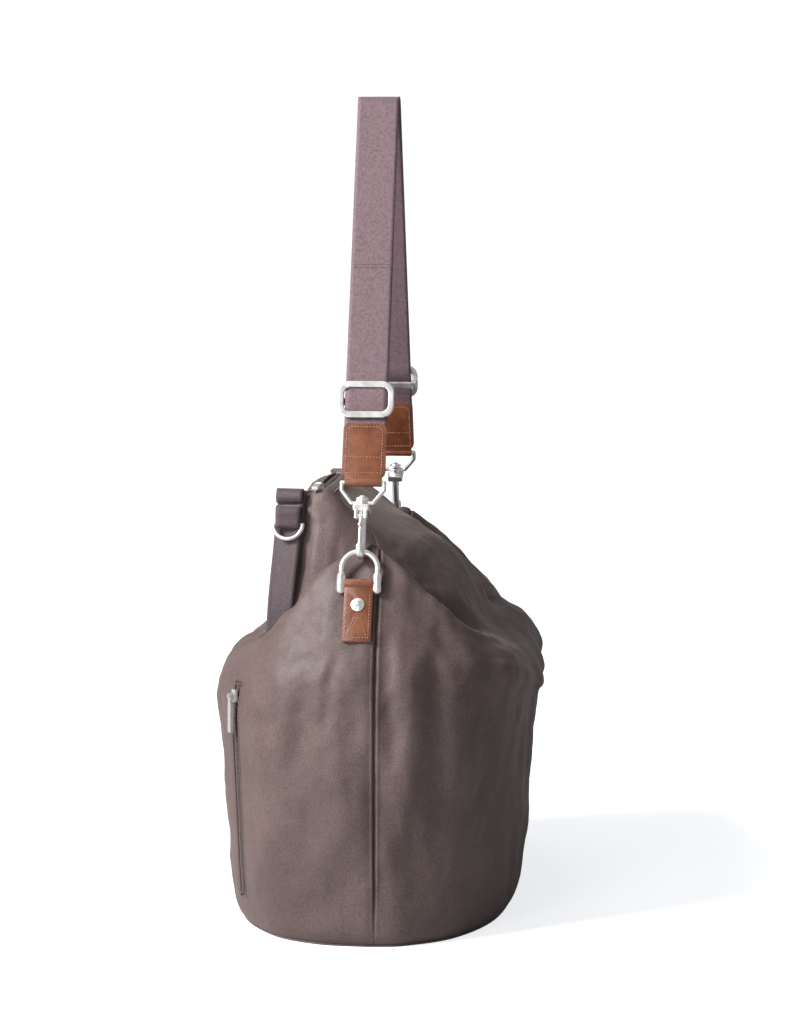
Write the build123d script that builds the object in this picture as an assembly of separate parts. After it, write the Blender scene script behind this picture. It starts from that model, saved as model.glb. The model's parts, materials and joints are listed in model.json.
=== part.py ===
from build123d import *
import math
import os

# A drum-shaped leather shoulder bag standing on its oval base, with its webbing strap
# pulled up to a point.  Millimetres.  +Z is up, X runs across the bag, Y runs along it
# from one strap end (near, -Y) to the other (far, +Y).  The origin is the middle of the
# base, on the floor.

# ---- driving dimensions ----
leather = 3.0            # shell: leather and its backing
lining_thick = 0.8
lining_gap = 0.3
skin_gap = 0.05          # between layers that follow the body's shape
board_thick = 2.5
base_lift = 3.0          # thickness of the bottom panel

# Outer sections of the body: height, centre in X, half width, half length.
body_sections = [
    (0.0, 0.0, 124.0, 200.0),
    (20.0, 0.0, 133.0, 207.0),
    (227.0, 2.0, 149.0, 205.0),
    (252.0, 12.0, 128.0, 198.0),
    (277.0, 16.0, 108.0, 186.0),
    (310.0, 9.0, 87.0, 168.0),
    (342.0, -7.0, 67.0, 148.0),
    (371.0, -20.0, 50.0, 124.0),
    (391.0, -29.0, 34.0, 104.0),
]
section_power = 2.4
section_points = 32
body_top = body_sections[-1][0]

seam_x = 17.0            # where the two side panels meet on the end faces
seam_turn_z = 307.0      # above this the seam runs up to the zip

zip_x = -48.0            # main zip, along Y in the flat top
zip_half = 84.0
zip_slot = 10.0
tape_thick = 0.8
tape_wide = 28.0
chain_wide = 5.4
chain_core = 3.0
tooth_pitch = 4.0
tooth_long = 2.2

pocket_turn = 53.0       # degrees: the pocket zip faces this far round from -X to -Y
pocket_off = 3.0         # sideways place of the zip's middle line
pocket_low = 28.0
pocket_high = 222.0
pocket_slot = 8.0
pocket_slider_z = 212.0

pull_eye_up = 5.0        # pull's hinge above the underside of its slider
main_slider_y = -73.5

pin_y = 172.0            # strap ring pins, at -Y and +Y
pin_z = 319.0
ring_mid = 16.0          # middle radius of the ring's arc
ring_wire = 2.0
ring_arc_up = 13.0       # arc centre above the pin
foot_r = 3.5
pin_r = 2.0

tab_wide = 25.0
tab_ply = 2.0
tab_loop_r = 2.3         # inside radius of the leather loop round the pin
tab_low_z = 271.0
tab_low_y = 193.5
rivet_head_r = 6.0
rivet_shank_r = 2.0
rivet_down = 20.0        # below the pin, along the tab

apex_z = 763.0           # where the two straight strap legs would meet
lean = math.degrees(math.atan2(pin_y, apex_z - pin_z))
webbing_wide = 38.0
webbing_thick = 1.6
webbing_start = 104.0    # along the pull line, from the ring pin
webbing_bend = 9.0
tail_start = 150.0
tail_end = 300.0

hook_wire = 2.3
hook_bend = 7.0
hook_bend_up = 31.4
gate_pivot_up = 60.0
gate_side = -6.6
frame_wire = 1.6
frame_low = 73.0
frame_kink = 85.0
frame_bar = 92.0
frame_half = 19.0
frame_flat = 9.5
stem_r = 2.3

strap_tab_wide = 38.6
strap_tab_loop_wide = 33.0
strap_tab_start = 97.0
strap_tab_end = 146.0
strap_ply = 1.8

slider_up = 168.0
slider_wide = 50.0
slider_high = 34.0
slider_round = 11.0
slider_rail = 5.0
slider_thick = 3.4

key_x = -71.0            # webbing strip at the zip's near end
key_wide = 25.0
key_thick = 1.6
key_path = [(-98.5, 384.0), (-109.0, 359.0), (-117.0, 337.0), (-128.0, 309.0), (-155.0, 279.0)]
key_ring_mid = 13.0
key_ring_wire = 1.7
key_bar_y = -112.8
key_bar_z = 363.0
key_ring_lean = 20.0     # the D ring rests on the strip

os.makedirs("parts", exist_ok=True)


def save(node, shape):
    export_step(shape, "parts/" + node + ".step")


def section_points_at(height, centre, half_wide, half_long):
    """The corners of one closed superellipse outline at its height."""
    points = []
    for step in range(section_points):
        turn = 2 * math.pi * (step + 0.5) / section_points
        cosine = math.cos(turn)
        sine = math.sin(turn)
        across = math.copysign(abs(cosine) ** (2 / section_power), cosine)
        along = math.copysign(abs(sine) ** (2 / section_power), sine)
        points.append(Vector(centre + half_wide * across, half_long * along, height))
    return points


def flat_face(corners):
    """A flat face through its corners."""
    return Face(Wire(Polyline(*corners, close=True).edges()))


def body_solid(inset):
    """The bag's outer shape in flat facets, drawn in on every side by the inset."""
    rings = []
    last = len(body_sections) - 1
    for index, (height, centre, half_wide, half_long) in enumerate(body_sections):
        level = height
        if index == 0:
            level = height + inset
        if index == last:
            level = height - inset
        rings.append(section_points_at(level, centre, half_wide - inset, half_long - inset))
    faces = [flat_face(rings[0]), flat_face(rings[-1])]
    for below, above in zip(rings, rings[1:]):
        for step in range(section_points):
            follow = (step + 1) % section_points
            faces.append(flat_face([below[step], below[follow], above[follow]]))
            faces.append(flat_face([below[step], above[follow], above[step]]))
    return Solid(Shell(faces))


def box_at(low, high):
    """A box from its lowest to its highest corner."""
    size = [high[axis] - low[axis] for axis in range(3)]
    middle = [(high[axis] + low[axis]) / 2 for axis in range(3)]
    return Pos(*middle) * Box(*size)


def prism(points, plane, depth):
    """A straight extrusion both ways of a closed outline."""
    face = plane * make_face(Polyline(*points, close=True))
    return extrude(face, depth, both=True)


# ---- body shell ----
outer = body_solid(0)
inner = body_solid(leather)
wide = 400.0
right_side = prism([(seam_x, -10), (seam_x, seam_turn_z), (zip_x, body_top - 10), (zip_x, body_top + 20),
                    (wide, body_top + 20), (wide, -10)], Plane.XZ, wide)
base_zone = box_at((-wide, -wide, -1), (wide, wide, base_lift))
shell = outer - inner

bottom_panel = outer & base_zone
save("bottom_panel", bottom_panel)

board_gap = 8
board_half_wide = body_sections[0][2] - board_gap
board_half_long = body_sections[0][3] - board_gap
board_outline = flat_face(section_points_at(base_lift + 0.2, 0, board_half_wide, board_half_long))
save("base_board", extrude(board_outline, board_thick))

zip_cut = box_at((zip_x - zip_slot / 2, -zip_half, body_top - 12),
                 (zip_x + zip_slot / 2, zip_half, body_top + 5))


# ---- pocket zip, let into the near left corner of the body ----
def pocket_prism(half_wide, low, high):
    """An upright slab that crosses only the near left corner of the body."""
    slab = box_at((-260, pocket_off - half_wide, low), (-60, pocket_off + half_wide, high))
    return Rot(0, 0, pocket_turn) * slab


pocket_cut = pocket_prism(pocket_slot / 2, pocket_low, pocket_high)
pocket_tape = body_solid(leather + skin_gap) - body_solid(leather + skin_gap + tape_thick)
pocket_tape &= pocket_prism(12, pocket_low - 6, pocket_high + 6)
save("pocket_zip_tape", pocket_tape)
pocket_chain_layer = body_solid(leather - 2.2) - body_solid(leather - skin_gap)
save("pocket_zip_chain", pocket_chain_layer & pocket_prism(chain_wide / 2, pocket_low, pocket_high))
pocket_bag = (body_solid(6.0) - body_solid(9.0)) & pocket_prism(62, pocket_low - 4, pocket_high + 5)
save("pocket_bag", pocket_bag)


# ---- leather tabs that hold the strap rings, with their rivets and pins ----
yz_plane = Plane(origin=(0, 0, 0), x_dir=(0, 1, 0), z_dir=(1, 0, 0))
loop_out = tab_loop_r + tab_ply
tab_angle = math.degrees(math.atan2(tab_low_y - pin_y, pin_z - tab_low_z))
tab_length = math.hypot(tab_low_y - pin_y, pin_z - tab_low_z)
tab_slit = 0.2
tab_place = Pos(0, -pin_y, pin_z) * Rot(-tab_angle, 0, 0)


def hairpin(hole_r, ply, length, gap, wide_along_x):
    """A strip folded round a bar along X and hanging below it as two plies."""
    profile = Circle(hole_r + ply)
    profile += Pos(0, -length / 2) * Rectangle(2 * ply + gap, length)
    profile -= Circle(hole_r)
    profile -= Pos(0, -length / 2) * Rectangle(gap, length)
    return extrude(yz_plane * profile, wide_along_x / 2, both=True)


ring_tab = hairpin(tab_loop_r, tab_ply, tab_length, tab_slit, tab_wide)
rivet_shank = Pos(0, 0, -rivet_down) * Rot(90, 0, 0) * Cylinder(rivet_shank_r, 2 * tab_ply + tab_slit)
head_out = tab_ply + tab_slit / 2
rivet_flange = Pos(0, -head_out - 0.5, -rivet_down) * Rot(90, 0, 0) * Cylinder(rivet_head_r, 1.0)
rivet_dome = Pos(0, -head_out - 1.6, -rivet_down) * Rot(90, 0, 0) * Cone(rivet_head_r - 0.4, 3.0, 1.2)
ring_tab = tab_place * (ring_tab - rivet_shank)
rivet = tab_place * (rivet_shank + rivet_flange + rivet_dome)

for end, flip in (("near", False), ("far", True)):
    for node, shape in (("ring_tab", ring_tab), ("rivet", rivet)):
        save(end + "_" + node, mirror(shape, about=Plane.XZ) if flip else shape)


# ---- horseshoe rings on their pins, tilted along the line of pull ----
def place_end(shape, flip):
    """Stand a piece built along +Z from the pin on the bag's near or far pull line."""
    placed = Pos(0, -pin_y, pin_z) * Rot(-lean, 0, 0) * shape
    if flip:
        placed = mirror(placed, about=Plane.XZ)
    return placed


def rod(start, end, radius):
    """A straight round bar between two points."""
    line = Line(start, end)
    return sweep(Plane(origin=line @ 0, z_dir=line % 0) * Circle(radius), line)


leg_low = -3.0
ring_path = (Line((-ring_mid, 0, leg_low), (-ring_mid, 0, ring_arc_up))
             + ThreePointArc((-ring_mid, 0, ring_arc_up), (0, 0, ring_arc_up + ring_mid),
                             (ring_mid, 0, ring_arc_up))
             + Line((ring_mid, 0, ring_arc_up), (ring_mid, 0, leg_low)))
ring = sweep(Plane(origin=(-ring_mid, 0, leg_low), z_dir=(0, 0, 1)) * Circle(ring_wire), ring_path)
for side in (-1, 1):
    ring += Pos(side * ring_mid, 0, 0.5) * Cylinder(foot_r, 12.0)
    ring += Pos(side * ring_mid, 0, -5.5) * Sphere(foot_r)
    ring += Pos(side * ring_mid, 0, 6.5) * Sphere(foot_r)
pin_hole = rod((-ring_mid - 6, 0, 0), (ring_mid + 6, 0, 0), pin_r)
ring -= pin_hole
pin = rod((-ring_mid - foot_r, 0, 0), (ring_mid + foot_r, 0, 0), pin_r)


# ---- snap hooks: body, gate and its thumb lever ----
hook_path = (Line((0, hook_bend, 66.0), (0, hook_bend, hook_bend_up))
             + ThreePointArc((0, hook_bend, hook_bend_up), (0, 0, hook_bend_up - hook_bend),
                             (0, -hook_bend, hook_bend_up))
             + Line((0, -hook_bend, hook_bend_up), (0, -hook_bend, hook_bend_up + 2.5)))
hook = sweep(Plane(origin=(0, hook_bend, 66.0), z_dir=(0, 0, -1)) * Circle(hook_wire), hook_path)
hook += Pos(0, 0, 67.0) * Box(10.0, 14.0 + 2 * hook_wire, 5.0)
hook += Pos(0, 0, 69.0) * Cylinder(4.6, 3.8)
hook += Pos(0, 0, 73.5) * Cylinder(stem_r, 6.0)
hook += Pos(0, 0, 76.4) * (Cylinder(4.0, 2.4) + Pos(0, 0, 1.2) * Sphere(2.6))
gate_pin = rod((-4.0, gate_side, gate_pivot_up), (4.0, gate_side, gate_pivot_up), 0.9)
hook += box_at((-4.0, -9.2, 57.4), (-2.2, -4.4, 65.0))
hook += box_at((2.2, -9.2, 57.4), (4.0, -4.4, 65.0))
hook -= gate_pin
gate_low = hook_bend_up + 3.2
gate = rod((0, -hook_bend, gate_low), (0, gate_side, gate_pivot_up - 1.0), 1.8)
gate += Pos(0, gate_side, gate_pivot_up) * Rot(0, 90, 0) * Cylinder(2.3, 3.6)
gate += rod((0, -hook_bend - 0.5, 52.0), (0, -hook_bend - 4.6, 51.0), 1.5)
gate += Pos(0, -hook_bend - 4.6, 51.0) * Sphere(2.1)
gate -= rod((-6, gate_side, gate_pivot_up), (6, gate_side, gate_pivot_up), 0.95)

# ---- wire frame that joins hook to strap ----
frame_boss_r = 4.8
frame_boss_high = 3.6
frame_play = 0.06
frame_points = [(-frame_flat, frame_low), (frame_flat, frame_low), (frame_half, frame_kink),
                (frame_half, frame_bar), (-frame_half, frame_bar), (-frame_half, frame_kink)]
frame = None
for index, (x, z) in enumerate(frame_points):
    next_x, next_z = frame_points[(index + 1) % len(frame_points)]
    bar = rod((x, 0, z), (next_x, 0, next_z), frame_wire) + Pos(x, 0, z) * Sphere(frame_wire)
    frame = bar if frame is None else frame + bar
frame += Pos(0, 0, frame_low) * Cylinder(frame_boss_r, frame_boss_high)
frame -= Pos(0, 0, frame_low) * Cylinder(stem_r + frame_play, 2 * frame_boss_high)

# ---- leather strap tabs ----
strap_loop_r = frame_wire + 0.3
strap_tab_corner = 5.0
strap_loop_grip = 12.0
tab_body = box_at((-strap_tab_wide / 2, -webbing_thick / 2 - strap_ply, strap_tab_start),
                  (strap_tab_wide / 2, webbing_thick / 2 + strap_ply, strap_tab_end))
tab_body = fillet(tab_body.edges().filter_by(Axis.Y), strap_tab_corner)
loop_shape = Pos(0, 0, frame_bar) * Rot(180, 0, 0) * hairpin(strap_loop_r, strap_ply, strap_loop_grip, webbing_thick,
                                                            strap_tab_loop_wide)
strap_tab = tab_body + loop_shape
strap_tab -= rod((-30, 0, frame_bar), (30, 0, frame_bar), strap_loop_r)
strap_tab -= box_at((-webbing_wide / 2, -webbing_thick / 2, webbing_start),
                    (webbing_wide / 2, webbing_thick / 2, strap_tab_end + 1))

# ---- strap adjusters: flat rounded frame in front, bar behind the webbing ----
half_thick = webbing_thick / 2
slot_half = webbing_wide / 2 + 1.0
slider_ring = RectangleRounded(slider_wide, slider_high, slider_round)
slider_ring -= RectangleRounded(slider_wide - 2 * slider_rail, slider_high - 2 * slider_rail - 1.4,
                                slider_round - slider_rail)
front_y = -half_thick - 0.5
slider = Pos(0, front_y, 0) * extrude(Plane.XZ * slider_ring, slider_thick)
bar_back = half_thick + 0.3 + webbing_thick + 0.5
for side in (-1, 1):
    slider += box_at((min(side * slot_half, side * (slider_wide / 2 - 0.6)), front_y - 1.0, -3.0),
                     (max(side * slot_half, side * (slider_wide / 2 - 0.6)), bar_back + 3.0, 3.0))
slider += box_at((-slot_half - 1.0, bar_back, -3.0), (slot_half + 1.0, bar_back + 3.0, 3.0))
slider = Pos(0, 0, slider_up) * slider

for end, flip in (("near", False), ("far", True)):
    for node, shape in (("ring", ring), ("ring_pin", pin), ("hook", hook), ("hook_gate", gate),
                        ("hook_gate_pin", gate_pin),
                        ("hook_frame", frame), ("strap_tab", strap_tab), ("strap_slider", slider)):
        save(end + "_" + node, place_end(shape, flip))

# ---- strap webbing: one arch, and the doubled tail behind the near leg ----
lean_sin = math.sin(math.radians(lean))
lean_cos = math.cos(math.radians(lean))


def pull_point(up):
    """A point on the near pull line, as Y and Z."""
    return (0, -pin_y + up * lean_sin, pin_z + up * lean_cos)


near_start = pull_point(webbing_start)
far_start = (0, -near_start[1], near_start[2])
arch_path = FilletPolyline(near_start, (0, 0, apex_z), far_start, radius=webbing_bend)
arch_plane = Plane(origin=near_start, x_dir=(1, 0, 0), z_dir=(0, lean_sin, lean_cos))
arch_face = arch_plane * Rectangle(webbing_wide, webbing_thick)
save("strap_webbing", sweep(arch_face, arch_path))
tail = box_at((-webbing_wide / 2, half_thick + 0.3, tail_start),
              (webbing_wide / 2, half_thick + 0.3 + webbing_thick, tail_end))
save("strap_tail", place_end(tail, False))

# ---- main zip: tape, chain, stops, slider and pull ----
tape_top = body_top - leather
tape_box = box_at((zip_x - tape_wide / 2, -zip_half - 6, tape_top - tape_thick),
                  (zip_x + tape_wide / 2, zip_half + 6, tape_top))


def zip_chain(length):
    """A closed chain of teeth on a core, lying along Y with its underside at Z = 0."""
    chain = Pos(0, 0, 0.9) * Box(chain_core, length, 1.8)
    teeth = int(length / tooth_pitch)
    for tooth in range(teeth):
        place = (tooth - (teeth - 1) / 2) * tooth_pitch
        chain += Pos(0, place, 0.95) * Box(chain_wide, tooth_long, 1.9)
    return chain


save("main_zip_tape", tape_box & body_solid(leather + 0.01))
save("main_zip_chain", Pos(zip_x, 0, tape_top) * zip_chain(2 * zip_half - 8))
chain_top = tape_top + 1.9
for end, side in (("near", -1), ("far", 1)):
    stop = box_at((zip_x - 3.0, side * (zip_half - 2) - 1.8, tape_top), (zip_x + 3.0, side * (zip_half - 2) + 1.8, tape_top + 2.4))
    save("main_zip_" + end + "_stop", stop)


def zip_slider(long, across):
    """Top plate of a zip slider along Y, with two ears and a cross pin for its pull."""
    plate = fillet((Pos(0, 0, 1.0) * Box(across, long, 2.0)).edges().filter_by(Axis.Z), 2.0)
    for side in (-1, 1):
        plate += Pos(side * 3.4, 0, 3.9) * Box(1.2, 4.4, 5.0)
    return plate + rod((-3.6, 0, pull_eye_up), (3.6, 0, pull_eye_up), 1.1)


def bar_pull(length, across, thick):
    """A flat bar pull pointing to -Y from its eye; the eye's axis is along X."""
    eye = Rot(0, 90, 0) * (Cylinder(2.7, 4.8) - Cylinder(1.5, 6))
    arm = box_at((-2.4, -6.5, -thick / 2), (2.4, -2.0, thick / 2))
    bar = box_at((-across / 2, -6.0 - length, -thick / 2), (across / 2, -6.0, thick / 2))
    return eye + arm + fillet(bar.edges().filter_by(Axis.X), 0.8)


slider_z = chain_top + 0.35
save("main_zip_slider", Pos(zip_x, main_slider_y, slider_z) * zip_slider(12.0, 9.0))
save("main_zip_pull", Pos(zip_x, main_slider_y, slider_z + pull_eye_up) * bar_pull(24.0, 5.6, 3.0))

# ---- webbing tabs past the two ends of the zip ----
key_low_x = key_x - key_wide / 2
key_high_x = key_x + key_wide / 2
key_top_y, key_top_z = key_path[0]
save("near_zip_end_tab", box_at((key_low_x, key_top_y - 6, key_top_z), (key_high_x, key_top_y + 7, key_top_z + 3)))
save("far_zip_end_tab", box_at((zip_x - 12, 106.5, body_top - 4), (zip_x + 12, 124, body_top - 1)))

# ---- pocket zip slider and pull, on the outside of the body ----


def pocket_point(height):
    """The body's surface on the pocket zip's middle line, and its outward direction in plan."""
    low, high = body_sections[1], body_sections[2]
    part = (height - low[0]) / (high[0] - low[0])
    centre, half_wide, half_long = [low[item] + part * (high[item] - low[item]) for item in (1, 2, 3)]
    turn = math.radians(pocket_turn)
    near, far = 0.0, 300.0
    while far - near > 0.001:
        middle = (near + far) / 2
        x = -middle * math.cos(turn) - pocket_off * math.sin(turn)
        y = -middle * math.sin(turn) + pocket_off * math.cos(turn)
        inside = (abs((x - centre) / half_wide) ** section_power + abs(y / half_long) ** section_power) < 1
        near, far = (middle, far) if inside else (near, middle)
    slope_x = -abs((x - centre) / half_wide) ** (section_power - 1) / half_wide
    slope_y = -abs(y / half_long) ** (section_power - 1) / half_long
    return Vector(x, y, height), Vector(slope_x, slope_y, 0).normalized()


pocket_start, pocket_out = pocket_point(pocket_slider_z)
pocket_foot, pocket_foot_out = pocket_point(pocket_low + 10)
pocket_up = (pocket_start - pocket_foot).normalized()
pocket_across = pocket_up.cross(pocket_out).normalized()
pocket_normal = pocket_across.cross(pocket_up).normalized()
pocket_frame = Plane(origin=pocket_start + pocket_normal * 0.7, x_dir=pocket_across, z_dir=pocket_normal)
hang = math.degrees(math.asin(pocket_normal.Z))
save("pocket_zip_slider", pocket_frame * zip_slider(12.0, 9.0))
hanging_pull = Pos(0, 0, pull_eye_up) * Rot(hang, 0, 0) * bar_pull(27.0, 6.4, 3.0)
save("pocket_zip_pull", pocket_frame * hanging_pull)

# ---- webbing strip below the near zip end, its folded loop and D ring ----
strip_back = [(y, z) for y, z in key_path]
strip_front = [(y - key_thick - 0.3, z) for y, z in reversed(key_path)]
strip = Pos(key_x, 0, 0) * prism(strip_back + strip_front, yz_plane, key_wide / 2)
save("key_strip", strip)
key_loop = hairpin(key_ring_wire + 0.3, 1.3, 15.0, 0.2, key_wide - 4.5)
save("key_loop", Pos(key_x, key_bar_y, key_bar_z) * Rot(180, 0, 0) * key_loop)
key_arc = ThreePointArc((-key_ring_mid, 0, 0), (0, 0, -key_ring_mid), (key_ring_mid, 0, 0))
key_ring = sweep(Plane(origin=(-key_ring_mid, 0, 0), z_dir=(0, 0, -1)) * Circle(key_ring_wire), key_arc)
key_ring += rod((-key_ring_mid, 0, 0), (key_ring_mid, 0, 0), key_ring_wire)
for side in (-1, 1):
    key_ring += Pos(side * key_ring_mid, 0, 0) * Sphere(key_ring_wire)
save("key_ring", Pos(key_x, key_bar_y, key_bar_z) * Rot(-key_ring_lean, 0, 0) * key_ring)
print("pocket slide direction", -pocket_up, "across", pocket_across, "eye", pocket_frame.origin + pocket_normal * pull_eye_up)
print("lean", lean, "hang", hang)

# ---- body panels, with what is let into them taken out ----
panel_shell = shell - base_zone - zip_cut - pocket_cut
right_panel = panel_shell & right_side
left_panel = panel_shell - right_side
save("right_panel", right_panel)
save("left_panel", left_panel)

lining_out = body_solid(leather + lining_gap + tape_thick)
lining_in = body_solid(leather + lining_gap + tape_thick + lining_thick)
lining_base = box_at((-wide, -wide, -1), (wide, wide, base_lift + board_thick + 0.4))
lining_top = box_at((zip_x - tape_wide / 2 - 1, -zip_half - 8, body_top - 20), (zip_x + tape_wide / 2 + 1, zip_half + 8, body_top + 5))
lining = lining_out - lining_in - lining_base - lining_top
save("lining", lining)
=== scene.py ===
import math
import json

import bpy
import numpy as np
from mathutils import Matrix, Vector, noise
from mathutils.bvhtree import BVHTree


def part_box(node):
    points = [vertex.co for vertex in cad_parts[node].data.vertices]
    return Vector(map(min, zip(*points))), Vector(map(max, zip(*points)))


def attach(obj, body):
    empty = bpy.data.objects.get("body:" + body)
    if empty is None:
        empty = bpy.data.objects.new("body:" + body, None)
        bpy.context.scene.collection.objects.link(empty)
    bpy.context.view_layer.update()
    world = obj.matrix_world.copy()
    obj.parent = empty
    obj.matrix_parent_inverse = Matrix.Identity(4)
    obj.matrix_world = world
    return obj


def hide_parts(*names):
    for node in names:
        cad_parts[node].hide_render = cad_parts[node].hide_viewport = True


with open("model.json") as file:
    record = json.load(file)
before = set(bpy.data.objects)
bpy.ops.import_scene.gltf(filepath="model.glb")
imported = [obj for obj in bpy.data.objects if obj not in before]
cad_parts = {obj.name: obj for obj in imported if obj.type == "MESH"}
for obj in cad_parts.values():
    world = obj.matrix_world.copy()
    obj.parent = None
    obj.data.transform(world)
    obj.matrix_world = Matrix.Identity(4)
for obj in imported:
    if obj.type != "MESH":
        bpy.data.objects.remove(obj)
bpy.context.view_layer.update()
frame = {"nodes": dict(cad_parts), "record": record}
nodes = frame["nodes"]
print("frame loaded")


def selectOnly(obj):
    bpy.ops.object.select_all(action="DESELECT")
    obj.select_set(True)
    bpy.context.view_layer.objects.active = obj


bpy.ops.object.select_all(action="DESELECT")


def newMaterial(name):
    mat = bpy.data.materials.new(name)
    mat.use_nodes = True
    tree = mat.node_tree
    shader = tree.nodes["Principled BSDF"]
    return mat, tree, shader


def addNode(tree, kind, **values):
    node = tree.nodes.new(kind)
    for key, value in values.items():
        if key in node.inputs:
            node.inputs[key].default_value = value
        else:
            setattr(node, key, value)
    return node


def ramp(tree, source, stops):
    node = tree.nodes.new("ShaderNodeValToRGB")
    while len(node.color_ramp.elements) < len(stops):
        node.color_ramp.elements.new(0.5)
    for element, (place, colour) in zip(node.color_ramp.elements, stops):
        element.position = place
        element.color = (*colour, 1)
    tree.links.new(source, node.inputs[0])
    return node.outputs[0]


def mixColour(tree, mode, factor, first, second):
    node = tree.nodes.new("ShaderNodeMix")
    node.data_type = "RGBA"
    node.blend_type = mode
    for socket, value in ((node.inputs[0], factor), (node.inputs[6], first), (node.inputs[7], second)):
        if hasattr(value, "links"):
            tree.links.new(value, socket)
        else:
            socket.default_value = value
    return node.outputs[2]


def mathNode(tree, operation, first, second=0.0, clamp=False):
    node = tree.nodes.new("ShaderNodeMath")
    node.operation = operation
    node.use_clamp = clamp
    for socket, value in ((node.inputs[0], first), (node.inputs[1], second)):
        if hasattr(value, "links"):
            tree.links.new(value, socket)
        else:
            socket.default_value = value
    return node.outputs[0]


def bumpChain(tree, shader, layers):
    last = None
    for height, strength, distance in layers:
        bump = addNode(tree, "ShaderNodeBump", Strength=strength, Distance=distance)
        tree.links.new(height, bump.inputs["Height"])
        if last:
            tree.links.new(last, bump.inputs["Normal"])
        last = bump.outputs[0]
    tree.links.new(last, shader.inputs["Normal"])


softLeather = {"colour": (0.105, 0.072, 0.067), "light": (0.128, 0.089, 0.083),
               "dark": (0.084, 0.057, 0.053),
               "grain": 900.0}


def makeSoftLeather():
    mat, tree, shader = newMaterial("softLeather")
    links = tree.links
    place = tree.nodes.new("ShaderNodeTexCoord").outputs["Object"]
    cloud = addNode(tree, "ShaderNodeTexNoise", Scale=9.0, Detail=4.0, Roughness=0.6)
    links.new(place, cloud.inputs["Vector"])
    base = ramp(tree, cloud.outputs[0],
                [(0.32, softLeather["dark"]), (0.5, softLeather["colour"]), (0.68, softLeather["light"])])
    speck = addNode(tree, "ShaderNodeTexNoise", Scale=620.0, Detail=2.0)
    links.new(place, speck.inputs["Vector"])
    speckle = ramp(tree, speck.outputs[0], [(0.35, (0.80, 0.80, 0.80)), (0.65, (1.12, 1.12, 1.12))])
    links.new(mixColour(tree, "MULTIPLY", 1.0, base, speckle), shader.inputs["Base Color"])
    pebble = addNode(tree, "ShaderNodeTexVoronoi", Scale=softLeather["grain"], Randomness=1.0)
    pebble.feature = "SMOOTH_F1"
    links.new(place, pebble.inputs["Vector"])
    crease = addNode(tree, "ShaderNodeTexNoise", Scale=170.0, Detail=5.0, Roughness=0.65, Distortion=0.6)
    links.new(place, crease.inputs["Vector"])
    slack = addNode(tree, "ShaderNodeTexNoise", Scale=42.0, Detail=3.0)
    links.new(place, slack.inputs["Vector"])
    rough = ramp(tree, cloud.outputs[0], [(0.3, (0.50, 0.50, 0.50)), (0.7, (0.64, 0.64, 0.64))])
    links.new(rough, shader.inputs["Roughness"])
    bumpChain(tree, shader, [(slack.outputs[0], 0.25, 0.0022), (crease.outputs[0], 0.30, 0.0006),
                             (pebble.outputs[0], 0.28, 0.00035)])
    shader.inputs["Sheen Weight"].default_value = 0.12
    shader.inputs["Sheen Roughness"].default_value = 0.45
    shader.inputs["Sheen Tint"].default_value = (0.75, 0.62, 0.55, 1)
    shader.inputs["Specular IOR Level"].default_value = 0.34
    return mat


softLeatherMat = makeSoftLeather()

tanLeather = {"colour": (0.165, 0.050, 0.019), "dark": (0.112, 0.032, 0.012),
              "light": (0.215, 0.072, 0.030)}


def makeTanLeather():
    mat, tree, shader = newMaterial("tanLeather")
    links = tree.links
    place = tree.nodes.new("ShaderNodeTexCoord").outputs["Object"]
    cloud = addNode(tree, "ShaderNodeTexNoise", Scale=70.0, Detail=5.0, Roughness=0.62)
    links.new(place, cloud.inputs["Vector"])
    base = ramp(tree, cloud.outputs[0],
                [(0.3, tanLeather["dark"]), (0.52, tanLeather["colour"]), (0.75, tanLeather["light"])])
    links.new(base, shader.inputs["Base Color"])
    pore = addNode(tree, "ShaderNodeTexVoronoi", Scale=1500.0, Randomness=1.0)
    links.new(place, pore.inputs["Vector"])
    crease = addNode(tree, "ShaderNodeTexNoise", Scale=300.0, Detail=4.0, Distortion=0.8)
    links.new(place, crease.inputs["Vector"])
    rough = ramp(tree, crease.outputs[0], [(0.3, (0.26, 0.26, 0.26)), (0.7, (0.46, 0.46, 0.46))])
    links.new(rough, shader.inputs["Roughness"])
    bumpChain(tree, shader, [(crease.outputs[0], 0.35, 0.0005), (pore.outputs[0], 0.25, 0.0002)])
    shader.inputs["Coat Weight"].default_value = 0.22
    shader.inputs["Coat Roughness"].default_value = 0.28
    return mat


tanLeatherMat = makeTanLeather()


def makeRawEdge():
    mat, tree, shader = newMaterial("rawLeatherEdge")
    place = tree.nodes.new("ShaderNodeTexCoord").outputs["Object"]
    fibre = addNode(tree, "ShaderNodeTexNoise", Scale=1800.0, Detail=3.0)
    tree.links.new(place, fibre.inputs["Vector"])
    base = ramp(tree, fibre.outputs[0], [(0.35, (0.26, 0.10, 0.04)), (0.65, (0.48, 0.24, 0.12))])
    tree.links.new(base, shader.inputs["Base Color"])
    shader.inputs["Roughness"].default_value = 0.8
    bumpChain(tree, shader, [(fibre.outputs[0], 0.4, 0.0002)])
    return mat


rawEdgeMat = makeRawEdge()


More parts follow.
